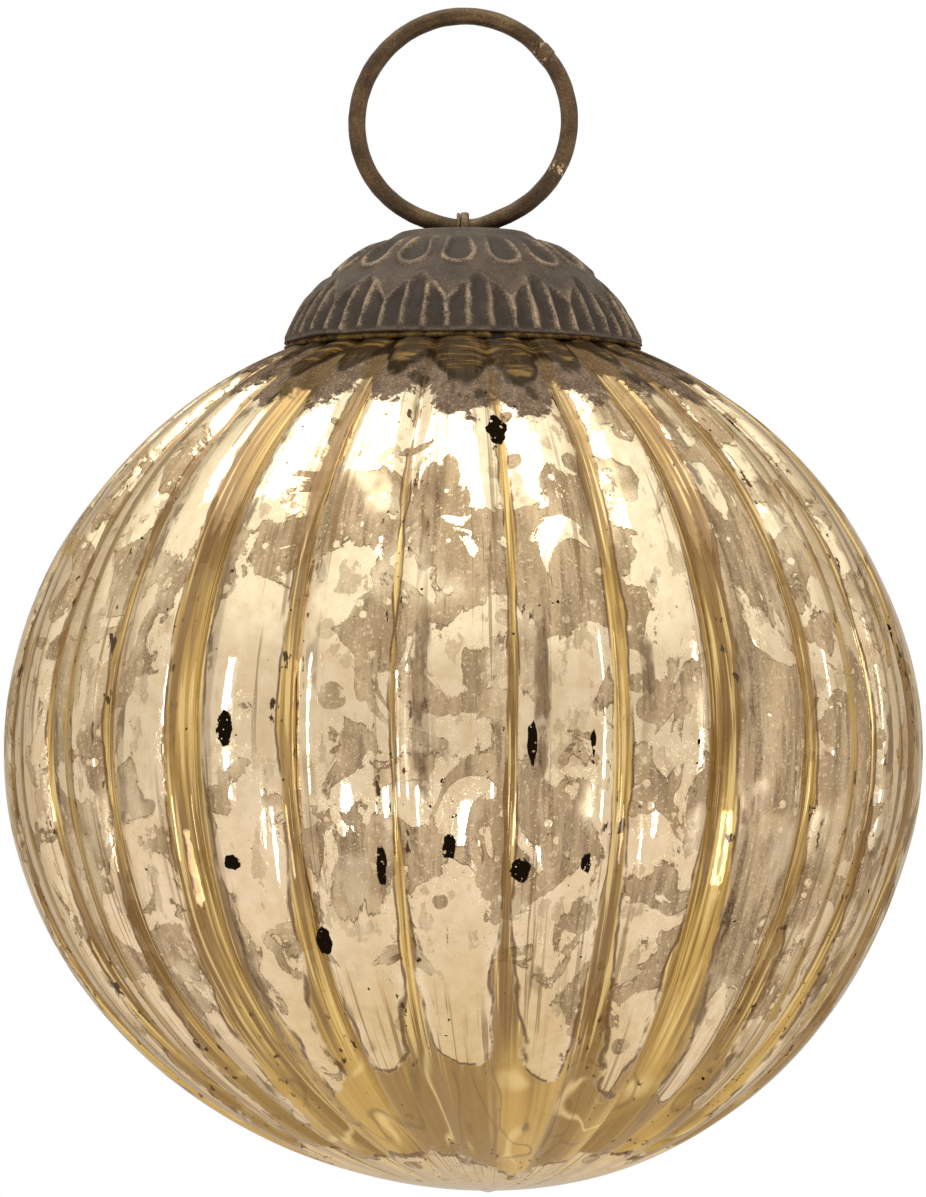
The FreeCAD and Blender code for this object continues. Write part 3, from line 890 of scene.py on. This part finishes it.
def honey_skin(g, noises):
    """Amber: threads and hairs of light and dark in the grooves, and at the foot soft folds of painted
    highlight and painted dark reflection.
    """
    foot = g.field("foot")
    threaded = g.level(foot, 0.5, 0.2)
    honey = g.mix(g.step(noises.body, 0.37, 0.55), "ad8b47", "81612d")
    honey = g.paint(honey, g.step(noises.thread, 0.5, 0.66), "68481f", threaded)
    honey = g.paint(honey, g.step(noises.thread, 0.46, 0.34), "cbac5e", threaded)
    for limits, code in (((0.5, 0.6), "5e3f1b"), ((0.46, 0.38), "dec486")):
        hairs = g.times(g.step(noises.hair, *limits), g.without(foot))
        honey = g.paint(honey, hairs, code, 0.65)
    in_foot = g.times(foot, g.step(g.field("amber"), 0.2, 0.8))
    # The foot's light and dark folds are painted highlights and painted dark reflections of wavy glass.
    for fold_noise, code in ((noises.painted_glint_folds, "dcc48c"), (noises.dark_reflection_folds, "5f4622")):
        folds = g.times(g.step(g.apart(fold_noise, 0.5), 0.035, 0), in_foot)
        honey = g.paint(honey, folds, code, 0.6)
    return honey


def lay_amber(g, noises, skin):
    """Lays the amber, the dark lines along it, the marks beside it and painted reflection lines. Gives the
    skin and the amber.
    """
    gap = g.field("gap")
    flank = g.field("flank")
    depth = g.plus(g.field("amber"), noises.wobble)
    amber = g.step(depth, 0.0, 0.14)
    skin = g.blend(g.times(amber, 0.92), skin, honey_skin(g, noises))
    shore = g.without(g.step(g.math("ABSOLUTE", depth), 0.03, 0.13))
    skin = g.paint(skin, g.times(shore, g.step(noises.broad, 0.4, 0.52)), "5f4220", 0.85)

    # Hair-thin traces run beside the grooves.
    side = g.plus(gap, g.times(noises.wobble, 0.5))
    traces = g.times(g.step(noises.hair, 0.55, 0.62), g.step(side, 3.6, 2.4))
    traces = g.times(traces, g.without(amber), g.step(noises.body, 0.42, 0.55))
    skin = g.paint(skin, traces, "70552f", 0.6)

    # The flanks have a thin amber line down each rib, and more of the dark dash marks. The lines and all the
    # dash marks are painted reflections of the kind ribs show near the ball's edge.
    crease = g.plus(g.field("crease"), g.sway(noises.streak, 0.9))
    crease = g.times(g.step(crease, 0.4, 0.55), flank)
    reflected_rib_line = g.mix(g.step(noises.thread, 0.45, 0.6), "a98b50", "67491f")
    skin = g.blend(g.times(crease, 0.85), skin, reflected_rib_line)
    dark_reflection_dashes = g.step(g.noise((0.8, 0.8, 2.2), 3, 0.6), 0.62, 0.66)
    dark_reflection_dashes = g.times(dark_reflection_dashes, g.most(g.step(g.noise((9, 9, 13), 2), 0.46, 0.52), flank))
    dark_reflection_dashes = g.times(dark_reflection_dashes, g.step(g.field("amber"), 1.0, 0.7))
    skin = g.paint(skin, dark_reflection_dashes, "46331d", g.most(g.step(side, 1.9, 1.3), crease))

    # Grey-brown stripes run along the right of some of the grooves.
    band = g.plus(gap, noises.wobble)
    stripe = g.times(g.step(band, 1.5, 1.7), g.step(band, 2.9, 2.6), g.step(g.field("right"), 0.1, 0.3))
    chosen = g.most(g.step(g.noise((6, 6, 14), 3), 0.52, 0.57), g.step(g.field("honey"), 0, 0.2))
    stripe = g.times(stripe, chosen, g.level(noises.blotch, 0.35, 0.9))
    return g.blend(stripe, skin, g.mix(noises.burnt, "78634c", "463322")), amber


def lay_shade(g, noises, skin, amber):
    """Lays the dull zone under the cap, partly tarnish and partly a painted reflection of the dark cap. Gives
    the skin, the zone and its dark glassy lobes.
    """
    shade = g.step(g.plus(g.field("shade"), g.sway(noises.mottle, 2.6)), 0.0, 0.35)
    umber = g.mix(g.step(noises.mottle, 0.4, 0.6), "5e4c3f", "493a2f")
    umber = g.paint(umber, g.step(noises.fine, 0.54, 0.6), "877462", 0.7)
    umber = g.paint(umber, g.step(noises.broad, 0.56, 0.64), "2b211a")
    umber = g.paint(umber, amber, "5c4726", 0.5)
    # Just under the rim, the dark glassy lobes with their ochre streaks and dark edges are a painted
    # reflection of the cap, with painted highlights.
    lobe = g.plus(g.field("shade"), noises.wobble)
    deep = g.step(lobe, 1.5, 1.7)
    painted_glints = g.step(g.noise((5, 5, 0.7), 3, 0.5), 0.47, 0.68)
    umber = g.blend(deep, umber, g.mix(painted_glints, "291c11", "725631"))
    umber = g.paint(umber, g.step(g.apart(lobe, 1.75), 0.32, 0.08), "1a110a")
    return g.blend(g.times(shade, 0.96), skin, umber), shade, deep


def bare_and_reflection_mask(g):
    """Ragged dark spots with a few flakes left in them, some where the silver is gone and some painted dark
    reflections, and pin holes where the silver is gone.
    """
    ragged = g.plus(g.field("bare_and_reflection_spot"), g.sway(g.noise(1.1, 4), 0.8))
    flakes = g.step(g.noise(0.5, 2), 0.64, 0.67)
    bare_and_reflection_dark = g.times(g.step(ragged, 0.2, 0.27), g.without(flakes))
    return g.most(bare_and_reflection_dark, g.step(g.noise(0.75, 3, 0.6), 0.715, 0.725))


def silvered_glass():
    """Mercury glass: champagne silvering with taupe tarnish, amber in the grooves, unsilvered spots, and
    painted reflections and highlights.
    """
    g = Graph("silvered_glass")
    noises = glass_noises(g)
    tarnish, outline = tarnish_mask(g, noises)
    skin = silver_skin(g, noises, tarnish, outline)
    skin, amber = lay_amber(g, noises, skin)
    skin, shade, deep = lay_shade(g, noises, skin, amber)
    # Some dark spots are unsilvered glass and some are painted dark reflections.
    bare_and_reflection_dark = bare_and_reflection_mask(g)
    skin = g.paint(skin, bare_and_reflection_dark, "140e08")

    # The silver is a mirror. Tarnish and the zone under the cap, partly a painted reflection of the cap, are
    # dull, and unsilvered glass and painted dark reflections are dark.
    clear = g.without(bare_and_reflection_dark)
    crust = g.times(tarnish, g.without(amber))
    dull = g.most(crust, g.times(shade, g.without(g.times(deep, 0.8))))
    rough = g.level(dull, 0.05, 0.42)
    rough = g.plus(rough, g.times(g.step(noises.fine, 0.4, 0.7), g.times(dull, 0.15)))
    metal = g.level(crust, g.without(g.times(amber, 0.7)), 0.3)
    metal = g.level(shade, metal, g.level(deep, 0.1, 0.2))
    coat = g.times(clear, g.without(deep), g.level(dull, 0.5, 0.06))
    ripple = g.bump(g.noise((3.0, 3.0, 9), 3), 0.14)
    ripple = g.bump(g.noise((1.0, 1.0, 3), 3), 0.012, ripple)
    ripple = g.bump(g.times(crust, noises.fine), 0.012, ripple)
    return g.finish(
        Base_Color=skin,
        Metallic=g.times(metal, clear),
        Roughness=g.level(bare_and_reflection_dark, rough, 0.7),
        Normal=ripple,
        Coat_Weight=coat,
        Coat_Roughness=0.02,
        Specular_IOR_Level=0.0,
        Specular_Tint=(0.88, 0.76, 0.58),
    )


def aged_cap_metal():
    """Dark antiqued sheet, dry-brushed pale along its raised pattern."""
    g = Graph("aged_cap_metal")
    grain = g.noise(0.2, 4, 0.65)
    patch = g.noise(2.6, 4, 0.6)
    base = g.mix(g.step(patch, 0.35, 0.65), "322821", "46392d")
    base = g.paint(base, g.step(grain, 0.45, 0.7), "685646", 0.6)
    base = g.paint(base, g.field("dark"), "1f1813", 0.7)
    rub = g.plus(g.field("worn"), g.sway(grain, 1.9), g.sway(patch, 1.8))
    share = g.level(g.step(g.noise(5.5, 2), 0.36, 0.62), 0.3, 0.85)
    skin = g.paint(base, g.step(rub, 0.3, 1.5), "ab937a", share)
    bump = g.bump(g.noise(0.9, 3), 0.05, g.bump(grain, 0.05))
    rough = g.level(g.step(grain, 0.3, 0.7), 0.5, 0.7)
    return g.finish(Base_Color=skin, Metallic=0.3, Roughness=rough, Normal=bump, Specular_IOR_Level=0.3)


def aged_wire(name, base_code, worn_code, pits=0.04):
    """Bronze-brown wire with a worn, speckled skin; pits is their depth in millimetres."""
    g = Graph(name)
    grain = g.noise(0.13, 4, 0.7)
    patch = g.noise(2.4, 3, 0.5)
    skin = g.mix(g.step(patch, 0.3, 0.7), base_code, "57442f")
    worn = g.plus(grain, g.sway(patch, 0.25))
    skin = g.paint(skin, g.step(worn, 0.5, 0.72), worn_code, 0.55)
    skin = g.paint(skin, g.step(g.noise(0.3, 2), 0.62, 0.75), "2a2018", 0.5)
    scrape = g.times(g.field("scratch"), g.step(g.noise((0.25, 0.25, 0.5), 3, 0.6), 0.5, 0.6))
    skin = g.paint(skin, scrape, "cdb296")
    bump = g.bump(g.noise(0.7, 3), 0.05, g.bump(grain, pits))
    return g.finish(Base_Color=skin, Metallic=0.8, Roughness=g.level(grain, 0.3, 0.55), Normal=bump)


def dried_cement():
    """Amber-brown cement with a dark blob."""
    g = Graph("dried_cement")
    patch = g.noise(1.5, 5, 0.65)
    skin = g.mix(g.step(patch, 0.35, 0.65), "2b1e10", "66502a")
    skin = g.paint(skin, g.step(g.noise(0.5, 3), 0.6, 0.66), "24190c")
    skin = g.paint(skin, g.step(g.field("blob"), 0.1, 0.4), "160e08")
    bump = g.bump(g.noise(0.6, 4), 0.12)
    rough = g.level(patch, 0.45, 0.65)
    return g.finish(Base_Color=skin, Roughness=rough, Normal=bump, Specular_IOR_Level=0.05)


# The pieces -----
FOOT_CLEARANCE = 0.06  # keeps the bottom pole inside the CAD box
BRAZE_PITS = 0.09


def make_ball():
    """The ball's glass and silvering, closed at the bottom outside and inside."""
    grid, fields = ball_grid()
    bottom, inner_bottom = end_middles(grid)
    bottom[2] = glass_low.z + FOOT_CLEARANCE
    mesh = grid_mesh("silvered_ball", grid, fields, poles=(bottom, inner_bottom))
    add_piece("silvered_ball", mesh, silvered_glass(), "ornament", "silvering", "glass_ball", "silver_lining")


def make_hardware():
    """The ring, its braze, the pin, the cap and the cement."""
    ring_wire = aged_wire("aged_wire", "3d2f21", "927a5b")
    braze_metal = aged_wire("braze", "5a4630", "c9ad8a", BRAZE_PITS)
    pin_wire = aged_wire("pin_wire", "5a4a3c", "a8957c")
    add_piece("hanging_ring_wire", ring_mesh(), ring_wire, "ring", "aged_brass_wire", "hanging_ring")
    add_piece("ring_joint_braze", braze_mesh(), braze_metal, "ring", "braze_metal", "ring_braze")
    add_piece("hanger_pin_strands", pin_mesh(), pin_wire, "hanger", "aged_brass_pin", "hanger_pin")
    add_piece("embossed_cap", cap_mesh(), aged_cap_metal(), "ornament", "aged_cap_metal", "cap_shell")
    add_piece("cement_bead", cement_mesh(), dried_cement(), "ornament", "cap_cement", "cap_cement")


# The camera, the light and the floor -----
# This section's lengths are in metres, but for the lens and the sensor's height.
CAMERA_PLACE = Vector((0, -0.8, -0.092))
CAMERA_AIM = Vector((0, 0, -0.0476))
VIEW_HEIGHT = 0.09845
SENSOR_HEIGHT = 36
FLOOR_HEIGHT = -1.2
FLOOR_HALF_WIDTH = 6.0
LAMP_AIM = Vector((0, 0, -0.06))


def make_camera():
    """A long lens at the photograph's place, low in front and tipped up a little."""
    data = bpy.data.cameras.new("camera")
    camera = bpy.data.objects.new("camera", data)
    bpy.context.scene.collection.objects.link(camera)
    camera.location = CAMERA_PLACE
    camera.rotation_euler = (CAMERA_AIM - CAMERA_PLACE).to_track_quat("-Z", "Y").to_euler()
    data.lens = SENSOR_HEIGHT * -CAMERA_PLACE.y / VIEW_HEIGHT
    data.clip_start = 0.05
    data.clip_end = 20
    bpy.context.scene.camera = camera


def area_light(name, place, size, watts, tint=(1, 1, 1)):
    """A rectangular lamp of a width and height in metres, turned to the ball."""
    data = bpy.data.lights.new(name, "AREA")
    data.shape = "RECTANGLE"
    data.size, data.size_y = size
    data.energy = watts
    data.color = tint
    lamp = bpy.data.objects.new(name, data)
    bpy.context.scene.collection.objects.link(lamp)
    lamp.location = place
    lamp.rotation_euler = (LAMP_AIM - lamp.location).to_track_quat("-Z", "Y").to_euler()


# What the studio shows, as the sine of the elevation, a colour and its strength: a warm tone
# straight below, pale walls that are dimmest at eye level, and a bright ceiling.
STUDIO = (
    (-1.0, "f0e3c6", 1.0),
    (-0.86, "f6ebd8", 1.02),
    (-0.7, "fbf3e8", 1.06),
    (-0.4, "fdf5ea", 1.04),
    (-0.1, "fbf4e8", 0.94),
    (0.1, "fbf4e8", 0.92),
    (0.4, "fbf4e8", 0.98),
    (0.6, "fcfbf0", 1.3),
    (1.0, "fdfdf5", 1.5),
)

# The studio's far side, behind the ornament, is dimmer than the side that faces it.
BACKDROP_START = 0.3
BACKDROP_STRENGTH = 0.7


def studio_ramp(tree, sine_socket):
    """The STUDIO table as a colour in a node tree."""
    shift = tree.nodes.new("ShaderNodeMapRange")
    shift.inputs["From Min"].default_value = -1
    tree.links.new(sine_socket, shift.inputs["Value"])
    ramp_node = tree.nodes.new("ShaderNodeValToRGB")
    tree.links.new(shift.outputs["Result"], ramp_node.inputs["Fac"])
    stops = ramp_node.color_ramp.elements
    while len(stops) < len(STUDIO):
        stops.new(0.5)
    for stop, (sine, code, strength) in zip(stops, STUDIO):
        stop.position = (sine + 1) / 2
        stop.color = (*(part * strength for part in colour(code)), 1)
    return ramp_node.outputs["Color"]


def make_world():
    """White to the camera; to reflections and shading, a soft studio."""
    world = bpy.data.worlds.new("studio")
    bpy.context.scene.world = world
    world.use_nodes = True
    tree = world.node_tree
    make, link = tree.nodes.new, tree.links.new
    way = make("ShaderNodeTexCoord")
    split = make("ShaderNodeSeparateXYZ")
    link(way.outputs["Generated"], split.inputs[0])
    background = tree.nodes["Background"]
    link(studio_ramp(tree, split.outputs["Z"]), background.inputs["Color"])
    backdrop = make("ShaderNodeMapRange")
    backdrop.inputs["From Min"].default_value = BACKDROP_START
    backdrop.inputs["To Min"].default_value = 1.0
    backdrop.inputs["To Max"].default_value = BACKDROP_STRENGTH
    link(split.outputs["Y"], backdrop.inputs["Value"])
    link(backdrop.outputs["Result"], background.inputs["Strength"])
    white = make("ShaderNodeBackground")
    white.inputs["Color"].default_value = (1, 1, 1, 1)
    path = make("ShaderNodeLightPath")
    choose = make("ShaderNodeMixShader")
    link(path.outputs["Is Camera Ray"], choose.inputs["Fac"])
    link(background.outputs[0], choose.inputs[1])
    link(white.outputs[0], choose.inputs[2])
    link(choose.outputs[0], tree.nodes["World Output"].inputs["Surface"])


# Each lamp's name, place, width and height, watts and tint, which is white unless it is given.
LAMPS = (
    ("overhead", (-0.12, -0.1, 0.85), (1.3, 0.6), 5.5, (1, 0.98, 0.88)),
    ("left_strip", (-1.0, -0.55, 0.02), (0.13, 0.75), 1.4),
    ("right_strip", (1.05, -0.3, 0.02), (0.14, 0.9), 1.6),
    ("front_low", (0.12, -1.1, -0.62), (0.13, 0.34), 1.4),
    ("low_left", (-0.55, -1.0, -0.5), (0.12, 0.3), 1.0),
    ("low_right", (0.75, -0.85, -0.42), (0.12, 0.3), 1.0),
)


def make_light():
    """The studio, a warm lamp overhead, two tall strips and three small lamps low in front."""
    make_world()
    for lamp in LAMPS:
        area_light(*lamp)
    bpy.context.scene.view_settings.view_transform = "Standard"


def make_floor():
    """A plain pale floor far below the hanging ornament."""
    mesh = bpy.data.meshes.new("floor")
    signs = ((-1, -1), (1, -1), (1, 1), (-1, 1))
    corners = [(FLOOR_HALF_WIDTH * x, FLOOR_HALF_WIDTH * y, 0) for x, y in signs]
    mesh.from_pydata(corners, [], [(0, 1, 2, 3)])
    floor = bpy.data.objects.new("floor", mesh)
    floor.location.z = FLOOR_HEIGHT
    bpy.context.scene.collection.objects.link(floor)
    g = Graph("floor")
    mesh.materials.append(g.finish(Base_Color=colour("faf9f6"), Roughness=0.8))
    floor.visible_glossy = False


make_camera()
make_light()
make_floor()
make_ball()
make_hardware()
